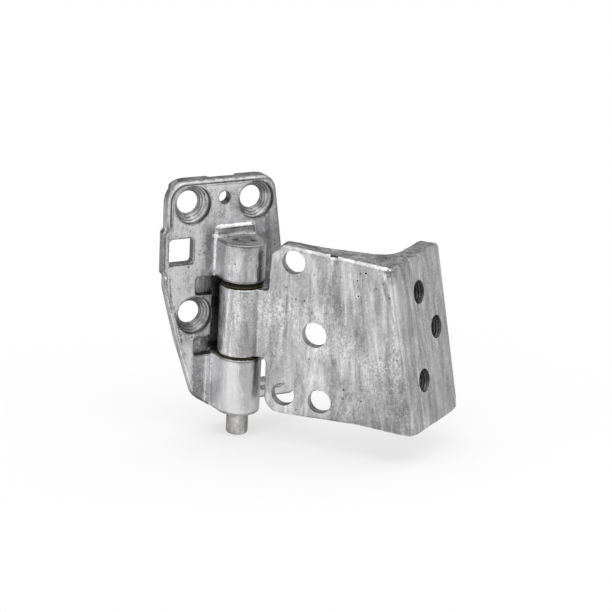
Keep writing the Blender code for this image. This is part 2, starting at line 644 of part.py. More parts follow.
def build_door_bracket(material):
    height = 2 * (LEAF_TOP + OVERRUN)
    body = plate("door_body", flange_plan(), height)
    lean_flange(body)
    outline = door_outline_solid()
    side = flange_end_solid()
    bracket = add_object("door_bracket", body.data)
    bracket.data.materials.append(material)
    boolean(bracket, outline, "INTERSECT")
    boolean(bracket, side, "INTERSECT")
    edge = top_edge_cutter()
    boolean(bracket, edge, "DIFFERENCE")

    # Knuckle round the pin, at the end of the arm
    knuckle = upright("door_knuckle", (0, 0), DOOR_KNUCKLE_RADIUS, DOOR_KNUCKLE_BOTTOM,
                      DOOR_KNUCKLE_TOP)
    bore = upright("bush_bore", (0, 0), BUSH_RADIUS + PRESS_GAP, DOOR_KNUCKLE_BOTTOM - OVERRUN,
                   DOOR_KNUCKLE_TOP + OVERRUN)
    chamfer_edges(knuckle, KNUCKLE_EDGE)
    boolean(bracket, knuckle, "UNION")
    boolean(bracket, bore, "DIFFERENCE")
    helpers = [bracket, outline, side, edge, knuckle, bore]

    # Bolt holes, each with a round seat sunk from the back
    bolts = {
        "upper_bolt": (*UPPER_BOLT, BOLT_RADIUS),
        "middle_bolt": (*MIDDLE_BOLT, MIDDLE_BOLT_RADIUS),
        "lower_left_bolt": (*LOWER_LEFT_BOLT, BOLT_RADIUS),
        "lower_right_bolt": (*LOWER_RIGHT_BOLT, BOLT_RADIUS),
    }
    front = -FRONT_OFFSET
    for name, (x, z, radius) in bolts.items():
        hole = cone(name, (x, front - OVERRUN, z), (x, FLANGE_DEPTH, z), radius, radius)
        seat_radius = UPPER_SEAT_RADIUS if name == "upper_bolt" else BOLT_SEAT_RADIUS
        seat = cone(name + "_seat", (x, front + BOLT_WEB, z), (x, FLANGE_DEPTH, z),
                    seat_radius, seat_radius)
        boolean(bracket, hole, "DIFFERENCE")
        boolean(bracket, seat, "DIFFERENCE")
        helpers += [hole, seat]

    # Tapped holes, square to the flange's outer face, with a chamfered mouth
    face = flange_frame()
    for number, (along, z) in enumerate(TAPPED_HOLES):
        centre = face @ Vector((along, 0, 0))
        centre += (face.to_3x3() @ Vector((0, 1, 0))) * (z - centre.z) / face[2][1]
        out = face.to_3x3() @ Vector((0, 0, 1))
        hole = cone(f"tapped_hole_{number}", centre - out * INNER_FILLET, centre + out * OVERRUN,
                    TAP_RADIUS, TAP_RADIUS)
        chamfer = countersink(f"tapped_mouth_{number}", centre, -out, TAP_MOUTH_RADIUS)
        boolean(bracket, hole, "DIFFERENCE")
        boolean(bracket, chamfer, "DIFFERENCE")
        helpers += [hole, chamfer]

    top = door_top(NOTCH_X)
    notch = box("top_notch", (NOTCH_X - NOTCH_WIDTH / 2, front - OVERRUN, top - NOTCH_DEPTH),
                (NOTCH_X + NOTCH_WIDTH / 2, front + NOTCH_DEPTH, top + OVERRUN))
    boolean(bracket, notch, "DIFFERENCE")
    place([*helpers, notch], DOOR_FRAME)
    return bracket


def build_pin(material):
    return turned("hinge_pin", [
        (0, PIN_TOP),
        (PIN_RADIUS - PIN_CHAMFER / 2, PIN_TOP),
        (PIN_RADIUS, PIN_TOP - PIN_CHAMFER / 2),
        (PIN_RADIUS, PIN_BOTTOM + PIN_CHAMFER),
        (PIN_RADIUS - PIN_CHAMFER, PIN_BOTTOM),
        (0, PIN_BOTTOM),
    ], material)


def build_bush(name, seat, side, flange, material):
    """A flanged sleeve in the door knuckle. side is 1 at its top end and -1 at its bottom end."""
    under = seat + side * FACE_GAP
    over = under + side * flange
    inner = seat - side * BUSH_LENGTH
    profile = [(BUSH_BORE, over), (RING_RADIUS, over), (RING_RADIUS, under), (BUSH_RADIUS, under),
               (BUSH_RADIUS, inner), (BUSH_BORE, inner)]
    return turned(name, profile[::side], material)


def build_washer(material):
    low = DOOR_KNUCKLE_TOP + UPPER_FLANGE + 2 * FACE_GAP
    high = low + WASHER_THICKNESS
    return turned("thrust_washer", [(BUSH_BORE, high), (RING_RADIUS, high),
                                    (RING_RADIUS, low), (BUSH_BORE, low)], material)


def stake(pin):
    """Two punch marks in the top of the pin."""
    for number, side in enumerate((-1, 1)):
        place = (side * STAKE_PLACE[0], AXIS.y - side * STAKE_PLACE[1], PIN_TOP)
        mark = countersink(f"stake_{number}", place, Vector((0, 0, -1)), STAKE_RADIUS, 12)
        boolean(pin, mark, "DIFFERENCE")


cast_metal = new_material("cast_aluminium", (0.62, 0.62, 0.63), 0.42, 1.0)
pin_steel = new_material("pin_steel", (0.42, 0.42, 0.43), 0.35, 1.0)
bush_bronze = new_material("bush_bronze", (0.33, 0.26, 0.12), 0.45, 1.0)
washer_black = new_material("washer_black", (0.02, 0.02, 0.02), 0.6, 0.0)

pillar_bracket = build_pillar_bracket(cast_metal)
door_bracket = build_door_bracket(cast_metal)
hinge_pin = build_pin(pin_steel)
build_bush("upper_bush", DOOR_KNUCKLE_TOP, 1, UPPER_FLANGE, bush_bronze)
build_bush("lower_bush", DOOR_KNUCKLE_BOTTOM, -1, LOWER_FLANGE, bush_bronze)
build_washer(washer_black)
stake(hinge_pin)
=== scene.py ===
"""The looks of the truck door hinge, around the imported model. Lengths are in metres."""

import math

import bmesh
import bpy
import numpy as np
from mathutils import Matrix, Vector


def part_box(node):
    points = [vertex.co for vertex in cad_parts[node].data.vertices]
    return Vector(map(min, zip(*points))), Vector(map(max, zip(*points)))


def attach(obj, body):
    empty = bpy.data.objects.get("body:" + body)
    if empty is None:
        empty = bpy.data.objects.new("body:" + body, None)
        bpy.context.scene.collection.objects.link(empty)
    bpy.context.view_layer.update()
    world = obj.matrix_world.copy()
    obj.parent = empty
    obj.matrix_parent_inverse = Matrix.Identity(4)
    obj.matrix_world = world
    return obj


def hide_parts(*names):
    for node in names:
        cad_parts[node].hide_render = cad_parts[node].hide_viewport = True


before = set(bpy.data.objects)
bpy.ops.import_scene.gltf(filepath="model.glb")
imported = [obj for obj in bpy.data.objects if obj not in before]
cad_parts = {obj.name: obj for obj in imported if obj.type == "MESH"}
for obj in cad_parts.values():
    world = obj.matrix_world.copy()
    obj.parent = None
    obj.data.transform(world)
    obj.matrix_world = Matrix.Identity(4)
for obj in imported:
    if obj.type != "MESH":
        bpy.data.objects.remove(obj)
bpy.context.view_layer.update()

MM = 0.001

# Sizes of the part. They repeat the solids' own, apart from the rim's groove and the thread, which
# are only here.
AXIS = Vector((0, -18.5, 0)) * MM
DOOR_ANGLE = math.radians(-48.6)
DOOR_FRAME = Matrix.Translation(AXIS) @ Matrix.Rotation(DOOR_ANGLE, 4, "Z")
LEAF_FRONT = -8.5 * MM
LEAF_TOP = 76.4 * MM
LEAF_LEFT = -41.4 * MM
RIM_ROUND = 11.5 * MM
RIM_GROOVE = 2.6 * MM
SCREWS = [Vector(place) * MM for place in ((-26.3, 0, 62.8), (11.4, 0, 62.8), (-23.6, 0, 0.8))]
SCREW_RADIUS = 6.2 * MM
SCREW_HEAD_RADIUS = 10.6 * MM
SCREW_RECESS = 2.7 * MM
DOWEL = Vector((-7.6, 0, 65.6)) * MM
DOWEL_RADIUS = 3.45 * MM
WINDOW = Vector((-32.3, 0, 37.7)) * MM
WINDOW_HALF = (7.1 * MM, 6.8 * MM)
PIN_RADIUS = 6.0 * MM
PIN_TOP = 43.6 * MM
PIN_BOTTOM = -66.4 * MM
DOOR_FRONT = -5.6 * MM
DOOR_WEB = 5.4 * MM
BOLTS = [(30.6, 37.2, 6.5), (44.2, -1.4, 6.9), (27.9, -37.7, 6.5), (48.9, -38.6, 6.5)]
NOTCH_MIDDLE = 52.4 * MM
NOTCH_BOTTOM = 42.9 * MM
FLANGE_REACH = 92.8 * MM
FLANGE_OPENING = math.radians(8.6)
FLANGE_LEAN = 0.193
FLANGE_THICKNESS = 10.0 * MM
TAPPED_HOLES = [(27.2, 22.7), (43.6, -0.4), (22.6, -24.4)]
TAP_RADIUS = 5.5 * MM
THREAD_PITCH = 1.75 * MM
THREAD_DEPTH = 0.55 * MM

# The grid that the castings are remeshed on, the most faces they keep, and a filler's depth
VOXEL = 0.42 * MM
MOST_FACES = 82000
FILL_DEPTH = 5.3 * MM

# The punch marks on the pin's top, and the spacing of the turned rings in the screw holes
STAKES = [(3.9, -2.1), (-3.9, 2.1)]
TURNED_STEP = 1.25 * MM

# Small holes in the door plate's skin: along it, height, radius and depth, in millimetres
PITS = [(66.6, 32.6, 0.5, 0.8), (70.9, 37.2, 0.55, 0.8), (67.7, 24.2, 0.45, 0.7),
        (84.6, 25.6, 0.45, 0.7)]

# The camera. Its turn is azimuth, elevation and roll in degrees, and its focal length is given
# as a multiple of the picture's width.
CAMERA_PLACE = (-0.47919, -0.9310, 0.34277)
CAMERA_TURN = (-29.64, 17.98, 2.95)
FOCAL_SHARE = 1999.85 / 612
SENSOR_WIDTH = 36

# The overhead light, and the share of the side light that is left at the back, in the studio and
# in the light that the floor mirrors
OVERHEAD = 1.75
BACK_OF_STUDIO = 0.3
BACK_OF_FLOOR = 0.7


# Mesh helpers

def add_object(name, mesh):
    item = bpy.data.objects.new(name, mesh)
    bpy.context.scene.collection.objects.link(item)
    return item


def applied(item):
    """Bakes the item's modifiers into its mesh."""
    bpy.context.view_layer.update()
    graph = bpy.context.evaluated_depsgraph_get()
    mesh = bpy.data.meshes.new_from_object(item.evaluated_get(graph), depsgraph=graph)
    item.modifiers.clear()
    item.data = mesh
    return item


def cut(item, cutter, operation="DIFFERENCE"):
    modifier = item.modifiers.new("cut", "BOOLEAN")
    modifier.operation = operation
    modifier.solver = "MANIFOLD"
    modifier.object = cutter
    applied(item)
    bpy.data.objects.remove(cutter)
    return item


def axis_frame(origin, direction):
    turn = Vector(direction).to_track_quat("Z", "Y").to_matrix().to_4x4()
    return Matrix.Translation(origin) @ turn


def front_frame(x, z, front):
    """The frame of a hole in a flat front face, with +Z out of it."""
    return axis_frame(Vector((x, front, z)), (0, -1, 0))


def solid(name, vertices, faces, place):
    mesh = bpy.data.meshes.new(name)
    mesh.from_pydata(vertices, [], faces)
    mesh.transform(place)
    tidy = bmesh.new()
    tidy.from_mesh(mesh)
    bmesh.ops.recalc_face_normals(tidy, faces=tidy.faces)
    tidy.to_mesh(mesh)
    tidy.free()
    return add_object(name, mesh)


def block(name, middle, size, tilt=0.0):
    """A box, with its middle and size in millimetres, turned about Y by tilt."""
    mesh = bpy.data.meshes.new(name)
    cube = bmesh.new()
    bmesh.ops.create_cube(cube, size=1)
    bmesh.ops.scale(cube, vec=Vector(size) * MM, verts=cube.verts)
    bmesh.ops.rotate(cube, matrix=Matrix.Rotation(tilt, 3, "Y"), verts=cube.verts)
    bmesh.ops.translate(cube, vec=Vector(middle) * MM, verts=cube.verts)
    cube.to_mesh(mesh)
    cube.free()
    return add_object(name, mesh)


def lathe(name, profile, place, steps=96):
    """A closed turned body. The profile is a list of (radius, height), from end to end."""
    vertices, faces, rings = [], [], []
    for radius, height in profile:
        if radius < 1e-7:
            rings.append([len(vertices)])
            vertices.append((0, 0, height))
            continue
        rings.append(list(range(len(vertices), len(vertices) + steps)))
        for step in range(steps):
            angle = 2 * math.pi * step / steps
            vertices.append((radius * math.cos(angle), radius * math.sin(angle), height))
    for low, high in zip(rings, rings[1:]):
        for step in range(steps):
            after = (step + 1) % steps
            if len(low) == 1:
                faces.append((low[0], high[after], high[step]))
            elif len(high) == 1:
                faces.append((low[step], low[after], high[0]))
            else:
                faces.append((low[step], low[after], high[after], high[step]))
    if len(rings[0]) > 1:
        faces.append(tuple(reversed(rings[0])))
    if len(rings[-1]) > 1:
        faces.append(tuple(rings[-1]))
    return solid(name, vertices, faces, place)


def threaded_core(name, place, radius, length, steps=64):
    """A screw-shaped cutter, from the mouth at height 0 down to -length."""
    rows_per_turn = 10
    rows = int(length / THREAD_PITCH * rows_per_turn)
    vertices, faces = [], []
    for row in range(rows + 1):
        height = 1 * MM - (length + 1 * MM) * row / rows
        for step in range(steps):
            turn = step / steps
            phase = (height / THREAD_PITCH + turn) % 1
            depth = THREAD_DEPTH * abs(2 * phase - 1)
            reach = radius + depth
            angle = 2 * math.pi * turn
            vertices.append((reach * math.cos(angle), reach * math.sin(angle), height))
    for row in range(rows):
        for step in range(steps):
            after = (step + 1) % steps
            a, b = row * steps + step, row * steps + after
            faces.append((a, a + steps, b + steps, b))
    faces.append(tuple(range(steps)))
    faces.append(tuple(reversed(range(rows * steps, rows * steps + steps))))
    return solid(name, vertices, faces, place)


def join(target, others):
    whole = bmesh.new()
    whole.from_mesh(target.data)
    for other in others:
        whole.from_mesh(other.data)
        bpy.data.objects.remove(other)
    whole.to_mesh(target.data)
    whole.free()


def coordinates(mesh):
    flat = np.empty(len(mesh.vertices) * 3, np.float32)
    mesh.vertices.foreach_get("co", flat)
    return flat.reshape(-1, 3)


def smooth(item, passes, weights=None):
    modifier = item.modifiers.new("smooth", "SMOOTH")
    modifier.factor = 0.5
    modifier.iterations = passes
    if weights is not None:
        group = item.vertex_groups.new(name="soft")
        levels = np.round(weights * 10).astype(int)
        for level in range(1, 11):
            group.add(np.flatnonzero(levels == level).tolist(), level / 10, "REPLACE")
        modifier.vertex_group = group.name
    applied(item)
    if weights is not None:
        item.vertex_groups.clear()


def near(distance, inner, outer):
    """1 up to the inner distance, falling to 0 at the outer one."""
    return np.clip((outer - distance) / (outer - inner), 0, 1)


def casting(name, cad_node, into, fillers):
    """A copy of a solid with its machined holes filled, remeshed to an even fine grid."""
    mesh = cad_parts[cad_node].data.copy()
    mesh.transform(into)
    item = add_object(name, mesh)
    mesh.materials.clear()
    join(item, fillers)
    whole = bmesh.new()
    whole.from_mesh(item.data)
    bmesh.ops.remove_doubles(whole, verts=whole.verts, dist=1e-6)
    whole.to_mesh(item.data)
    whole.free()
    modifier = item.modifiers.new("grid", "REMESH")
    modifier.mode = "VOXEL"
    modifier.voxel_size = VOXEL
    return applied(item)


def thin_out(item):
    modifier = item.modifiers.new("thin", "DECIMATE")
    modifier.ratio = min(1, MOST_FACES / len(item.data.polygons))
    return applied(item)


def face_middles(mesh):
    flat = np.empty(len(mesh.polygons) * 3, np.float32)
    mesh.polygons.foreach_get("center", flat)
    return flat.reshape(-1, 3)


def finish_piece(item, materials, body, replaced, choice=None):
    """Gives the item its materials and body, and hides the part it replaces. choice holds each
    face's material number.
    """
    mesh = item.data
    mesh.materials.clear()
    for material in materials:
        mesh.materials.append(material)
    if choice is None:
        choice = np.zeros(len(mesh.polygons), np.int32)
    mesh.polygons.foreach_set("material_index", choice)
    mesh.polygons.foreach_set("use_smooth", [True] * len(mesh.polygons))
    mesh.set_sharp_from_angle(angle=math.radians(35))
    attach(item, body)
    if replaced:
        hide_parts(replaced)
    return item


# Shader helpers

def node(tree, kind, inputs=None, **settings):
    """Adds a shader node. inputs maps a socket's name or number to a value or a socket."""
    made = tree.nodes.new("ShaderNode" + kind)
    for key, value in settings.items():
        setattr(made, key, value)
    for key, value in (inputs or {}).items():
        if isinstance(value, bpy.types.NodeSocket):
            tree.links.new(value, made.inputs[key])
        else:
            made.inputs[key].default_value = value
    return made


def maths(tree, operation, *values, clamp=False):
    made = node(tree, "Math", dict(enumerate(values)), operation=operation, use_clamp=clamp)
    return made.outputs[0]


def ramp(tree, value, low, high, to_low=0.0, to_high=1.0):
    made = node(tree, "MapRange", {0: value, 1: low, 2: high, 3: to_low, 4: to_high},
                interpolation_type="SMOOTHSTEP")
    return made.outputs[0]


def noise_of(tree, place, stretch, scale, detail=2.0, distortion=0.0, rough=0.5):
    moved = node(tree, "Mapping", {"Vector": place, "Scale": stretch})
    made = node(tree, "TexNoise", {"Vector": moved.outputs[0], "Scale": scale, "Detail": detail,
                                   "Distortion": distortion, "Roughness": rough})
    return made.outputs["Fac"]


def new_material(name):
    material = bpy.data.materials.new(name)
    material.use_nodes = True
    tree = material.node_tree
    return material, tree, tree.nodes["Principled BSDF"]


def times(tree, base, fac, amount):
    """base x (1 + amount x (fac - 0.5))"""
    wave = maths(tree, "MULTIPLY_ADD", fac, amount, 1 - amount / 2)
    return maths(tree, "MULTIPLY", base, wave)


def masked(tree, tone, mask, gain):
    """tone x (1 + gain) where the mask is 1, and the tone itself where it is 0"""
    return maths(tree, "MULTIPLY", tone, maths(tree, "MULTIPLY_ADD", mask, gain, 1))


def shaded(tree, tone, reach, darkest, brightest):
    """Paints shade into the tone in hollows, from ambient occlusion, and keeps it below brightest.
    """
    occlusion = node(tree, "AmbientOcclusion", {"Distance": reach}, samples=8).outputs["AO"]
    tone = maths(tree, "MULTIPLY", tone, ramp(tree, occlusion, 0.1, 0.8, darkest, 1))
    return maths(tree, "MINIMUM", maths(tree, "MAXIMUM", tone, 0.03), brightest)


def colour_of(tree, value, tint):
    """A grey of the given value, times a tint."""
    made = node(tree, "VectorMath", {0: (*tint,), "Scale": value}, operation="SCALE")
    return made.outputs[0]


def connect(tree, shader, tone, tint, rough, bump, metallic=1.0):
    tree.links.new(colour_of(tree, tone, tint), shader.inputs["Base Color"])
    tree.links.new(rough, shader.inputs["Roughness"])
    tree.links.new(bump.outputs[0], shader.inputs["Normal"])
    shader.inputs["Metallic"].default_value = metallic


def soft_box(tree, place, ragged, middle, half, border):
    """1 inside a box given in millimetres, 0 outside its border. Noise makes the border uneven."""
    middle, half = Vector(middle) * MM, Vector(half) * MM
    away = node(tree, "VectorMath", {0: place, 1: middle}, operation="SUBTRACT").outputs[0]
    away = node(tree, "VectorMath", {0: away}, operation="ABSOLUTE").outputs[0]
    away = node(tree, "VectorMath", {0: away, 1: half}, operation="SUBTRACT").outputs[0]
    x, y, z = node(tree, "SeparateXYZ", {0: away}).outputs
    outside = maths(tree, "MAXIMUM", maths(tree, "MAXIMUM", x, y), z)
    uneven = maths(tree, "SUBTRACT", ragged, 0.5)
    outside = maths(tree, "MULTIPLY_ADD", uneven, 3 * border * MM, outside)
    return ramp(tree, outside, 0, border * MM, 1, 0)


def touched(tree, tone, place, ragged, marks):
    """Darkens or lightens the tone in soft boxes."""
    for middle, half, border, factor in marks:
        inside = soft_box(tree, place, ragged, middle, half, border)
        tone = masked(tree, tone, inside, factor - 1)
    return tone


def stroked(tree, tone, place, ragged, front, lines):
    """Soft strokes on a flat front face, each from (x, z) to (x, z) in millimetres."""
    x, y, z = node(tree, "SeparateXYZ", {0: place}).outputs
    spot = node(tree, "CombineXYZ", {0: x, 2: z}).outputs[0]
    here = maths(tree, "MULTIPLY", ramp(tree, y, front + 0.8 * MM, front + 1.6 * MM, 1, 0),
                 ramp(tree, y, front - 2 * MM, front - 1 * MM))
    drift = maths(tree, "MULTIPLY", maths(tree, "SUBTRACT", ragged, 0.5), 3 * MM)
    for x1, z1, x2, z2, width, factor in lines:
        start, way = Vector((x1, 0, z1)) * MM, Vector((x2 - x1, 0, z2 - z1)) * MM
        gap = node(tree, "VectorMath", {0: spot, 1: start}, operation="SUBTRACT").outputs[0]
        share = node(tree, "VectorMath", {0: gap, 1: way / way.length_squared},
                     operation="DOT_PRODUCT").outputs["Value"]
        share = maths(tree, "ADD", share, 0.0, clamp=True)
        foot = node(tree, "VectorMath", {0: (*way,), "Scale": share}, operation="SCALE").outputs[0]
        far = node(tree, "VectorMath", {0: gap, 1: foot}, operation="DISTANCE").outputs["Value"]
        ends = maths(tree, "MULTIPLY", share, maths(tree, "SUBTRACT", 1.0, share))
        ends = maths(tree, "SQRT", ends)
        line = ramp(tree, maths(tree, "ADD", far, drift), width * 0.3 * MM, width * 1.3 * MM, 1, 0)
        ends = maths(tree, "MULTIPLY", ends, maths(tree, "MULTIPLY", here, 2.0))
        line = maths(tree, "MULTIPLY", line, ends)
        tone = masked(tree, tone, line, 1.25 * (factor - 1))
    return tone


def rim_highlight_and_shade(tree, tone, place):
    """A painted highlight on the leaf's rounded upper left border, painted shade in the groove
    beside it, and a fainter painted highlight further in.
    """
    x, y, z = node(tree, "SeparateXYZ", {0: place}).outputs
    across = maths(tree, "SUBTRACT", LEAF_LEFT + RIM_ROUND, x)
    above = maths(tree, "SUBTRACT", z, LEAF_TOP - RIM_ROUND)
    inner = maths(tree, "MINIMUM", maths(tree, "MAXIMUM", across, above), 0.0)
    a, b = (maths(tree, "POWER", maths(tree, "MAXIMUM", v, 0.0), 2.0) for v in (across, above))
    inset = maths(tree, "SUBTRACT", RIM_ROUND, maths(tree, "SQRT", maths(tree, "ADD", a, b)))
    inset = maths(tree, "SUBTRACT", inset, inner)
    here = maths(tree, "MULTIPLY", ramp(tree, z, 49 * MM, 53 * MM),
                 ramp(tree, x, 12 * MM, 20 * MM, 1, 0))
    here = maths(tree, "MULTIPLY", here, ramp(tree, y, -6.2 * MM, -5.2 * MM, 1, 0))
    for middle, wide, gain in ((1.4 * MM, 0.7 * MM, 0.85), (RIM_GROOVE, 0.6 * MM, -0.6),
                               (4.4 * MM, 1.4 * MM, 0.35)):
        off = maths(tree, "ABSOLUTE", maths(tree, "SUBTRACT", inset, middle))
        line = maths(tree, "MULTIPLY", ramp(tree, off, wide * 0.4, wide, 1, 0), here)
        tone = masked(tree, tone, line, gain)
    return tone


def cast_metal(name, turn, level, streaks, clouds, grains, lean, edge_shade, marks, calm, pitted,
               lines):
    """Bright cast aluminium: cloudy, with streaks along Z, grain and pits, painted highlights with
    some wear on sharp edges, a painted shade line beside them, and painted shade in creases and
    hollows.
    turn brings the door bracket's directions back to X and Z, and lean tilts its streaks near the
    flange."""
    material, tree, shader = new_material(name)
    where = node(tree, "TexCoord").outputs["Object"]
    if turn:
        where = node(tree, "VectorMath", {0: where, 1: AXIS}, operation="SUBTRACT").outputs[0]
    place = node(tree, "VectorRotate", {"Vector": where, "Angle": turn},
                 rotation_type="Z_AXIS").outputs[0]
    parts = node(tree, "SeparateXYZ", {0: place}).outputs
    slant = maths(tree, "MULTIPLY", parts[2], ramp(tree, parts[0], 45 * MM, 85 * MM, 0, lean))
    flow = node(tree, "CombineXYZ", {0: maths(tree, "ADD", parts[0], slant), 1: parts[1],
                                     2: parts[2]}).outputs[0]
    wide = noise_of(tree, flow, (1, 1, 0.17), 135, 4, 1.3, 0.6)
    narrow = noise_of(tree, flow, (1, 1, 0.12), 430, 3, 0.9, 0.6)
    cloud = noise_of(tree, place, (1, 1, 0.6), 75, 4, 0.5, 0.6)
    grain = noise_of(tree, place, (1, 1, 0.8), 1150, 3, 0, 0.75)
    crust = noise_of(tree, place, (1, 1, 1), 420, 3, 0.3, 0.6)

    # The grain is strong in some areas and faint in others
    where_rough = ramp(tree, noise_of(tree, place, (1, 1, 0.5), 60, 2), 0.38, 0.62, 0.35, 1)
    tone = times(tree, level, wide, streaks * 2.2)
    tone = times(tree, tone, narrow, streaks * 0.9)
    tone = times(tree, tone, cloud, clouds * 2.2)
    tone = times(tree, tone, crust, clouds * 1.2)
    rough_grain = maths(tree, "MULTIPLY", maths(tree, "SUBTRACT", grain, 0.5), where_rough)
    tone = times(tree, tone, maths(tree, "ADD", rough_grain, 0.5), grains * 2.6)

    for middle, half, border in calm:
        still = maths(tree, "MULTIPLY", soft_box(tree, flow, crust, middle, half, border), 0.75)
        tone = maths(tree, "MULTIPLY_ADD", still, maths(tree, "SUBTRACT", level, tone), tone)
    tone = touched(tree, tone, flow, crust, marks)
    tone = stroked(tree, tone, place, crust, DOOR_FRONT if turn else LEAF_FRONT, lines)
    if not turn:
        tone = rim_highlight_and_shade(tree, tone, place)
    cells = node(tree, "TexVoronoi", {"Vector": place, "Scale": 330.0})
    chosen = node(tree, "SeparateColor", {0: cells.outputs["Color"]}).outputs[0]
    few = maths(tree, "MULTIPLY", ramp(tree, chosen, 0.9, 0.91), ramp(tree, crust, 0.48, 0.56))
    for middle, half, border in pitted:
        many = soft_box(tree, flow, crust, middle, half, border)
        many = maths(tree, "MULTIPLY", many, ramp(tree, chosen, 0.45, 0.46))
        few = maths(tree, "MAXIMUM", few, many)
    pit = maths(tree, "MULTIPLY", ramp(tree, cells.outputs["Distance"], 0.12, 0.26, 1, 0), few)
    tone = masked(tree, tone, pit, -0.75)

    # Pointiness paints highlights, with some edge wear, on sharp edges, a line of painted shade
    # just inside them, and painted shade in creases.
    sharpness = node(tree, "NewGeometry").outputs["Pointiness"]
    uneven = maths(tree, "MULTIPLY_ADD", maths(tree, "SUBTRACT", crust, 0.5), 0.012, sharpness)
    edge_wear_and_highlight = ramp(tree, uneven, 0.516, 0.545)
    line = maths(tree, "SUBTRACT", ramp(tree, uneven, 0.504, 0.51), edge_wear_and_highlight, clamp=True)
    crease_shade = ramp(tree, uneven, 0.47, 0.495, 1, 0)
    tone = masked(tree, tone, line, -edge_shade)
    tone = masked(tree, tone, crease_shade, -0.45)
    tone = maths(tree, "MULTIPLY_ADD", edge_wear_and_highlight, 0.16, tone)
    tone = shaded(tree, tone, 12 * MM, 0.45, 0.92)

    coarse = maths(tree, "ADD", wide, maths(tree, "MULTIPLY", cloud, 1.5))
    bump = node(tree, "Bump", {"Strength": 1.0, "Distance": 0.6 * MM, "Height": coarse})
    fine = maths(tree, "SUBTRACT", maths(tree, "MULTIPLY_ADD", rough_grain, 1.0,
                                         maths(tree, "MULTIPLY", crust, 0.8)), pit)
    bump = node(tree, "Bump", {"Strength": 0.3, "Distance": 0.35 * MM, "Height": fine,
                               "Normal": bump.outputs[0]})
    rough = maths(tree, "MULTIPLY_ADD", cloud, 0.3, maths(tree, "MULTIPLY_ADD", crust, 0.2, 0.08))
    connect(tree, shader, tone, (1, 0.995, 1.01), rough, bump)
    return material


def turned_metal(name):
    """Machined aluminium. The attribute called ring is the distance from the hole's axis. The
    upper recesses are painted brighter than the lower one, and the outer wall and hollows get
    painted shade.
    """
    material, tree, shader = new_material(name)
    place = node(tree, "TexCoord").outputs["Object"]
    radius = node(tree, "Attribute", attribute_name="ring").outputs["Fac"]
    grain = noise_of(tree, place, (1, 1, 1), 900, 3)
    patch = noise_of(tree, place, (1, 1, 1), 190, 2)
    drift = maths(tree, "MULTIPLY_ADD", patch, 1.1 * MM, radius)
    groove = maths(tree, "SINE", maths(tree, "MULTIPLY", drift, 2 * math.pi / TURNED_STEP))
    tone = maths(tree, "MULTIPLY_ADD", groove, 0.08, 0.34)
    tone = times(tree, tone, grain, 1.2)
    tone = times(tree, tone, patch, 1.9)
    height = node(tree, "SeparateXYZ", {0: place}).outputs[2]
    # Painted light: the two upper screw recesses are brighter than the lower one
    tone = maths(tree, "MULTIPLY", tone, ramp(tree, height, 20 * MM, 40 * MM, 1.1, 1.35))
    # Painted shade on the recess's outer wall
    outer = ramp(tree, radius, 10.2 * MM, 10.5 * MM, 1, 0.5)
    tone = maths(tree, "MULTIPLY", tone, outer)
    tone = shaded(tree, tone, 8 * MM, 0.35, 0.9)
    height = maths(tree, "MULTIPLY_ADD", grain, 0.8, groove)
    bump = node(tree, "Bump", {"Strength": 0.5, "Distance": 0.1 * MM, "Height": height})
    connect(tree, shader, tone, (1, 0.99, 1), maths(tree, "MULTIPLY_ADD", grain, 0.3, 0.2), bump)
    return material


def plain_metal(name, tint, level, roughness, contrast, scale, metallic=1.0):
    material, tree, shader = new_material(name)
    place = node(tree, "TexCoord").outputs["Object"]
    grain = noise_of(tree, place, (1, 1, 0.7), scale, 3, 0.3, 0.65)
    patch = noise_of(tree, place, (1, 1, 0.6), scale / 4, 2, 0.4)
    tone = times(tree, times(tree, level, grain, contrast), patch, contrast * 1.2)
    bump = node(tree, "Bump", {"Strength": 0.5, "Distance": 0.2 * MM, "Height": grain})
    rough = maths(tree, "MULTIPLY_ADD", grain, 0.3, roughness - 0.15)
    connect(tree, shader, tone, tint, rough, bump, metallic)
    if metallic == 0:
        shader.inputs["Specular IOR Level"].default_value = 0.2
    return material


# The pillar bracket

def screw_profile():
    """Height 0 is the leaf's front face, and the screw goes towards -height."""
    profile = [(SCREW_HEAD_RADIUS + 0.15 * MM, 1.2 * MM), (SCREW_HEAD_RADIUS, -SCREW_RECESS)]
    depth = SCREW_HEAD_RADIUS - SCREW_RADIUS
    rings = 24
    for number in range(1, rings):
        share = number / rings
        wave = 0.04 * MM * math.cos(share * math.pi * 2 * 3.5)
        profile.append((SCREW_HEAD_RADIUS - depth * share + wave,
                        -SCREW_RECESS - depth * share + wave))
    profile += [(SCREW_RADIUS, -SCREW_RECESS - depth), (SCREW_RADIUS, -14 * MM)]
    return profile[::-1]


def rim(mesh):
    """Rounds the leaf's upper left border, with a shallow groove along its inner side."""
    points = coordinates(mesh)
    x, z = points[:, 0] - (LEAF_LEFT + RIM_ROUND), LEAF_TOP - RIM_ROUND - points[:, 2]
    inset = np.where((x < 0) & (z < 0), RIM_ROUND - np.hypot(x, z),
                     RIM_ROUND + np.where(x < z, x, z))
    weight = near(-points[:, 2], -54 * MM, -49 * MM) * near(points[:, 0], 10 * MM, 18 * MM)
    front = points[:, 1] < LEAF_FRONT + 2.5 * MM
    groove = 0.55 * MM * np.exp(-((inset - RIM_GROOVE) / (0.5 * MM)) ** 2)
    fall = 0.42 * MM * np.clip((1.7 * MM - inset) / MM, 0, 3) ** 2
    points[:, 1] += weight * front * (groove + fall)
    mesh.vertices.foreach_set("co", points.ravel())


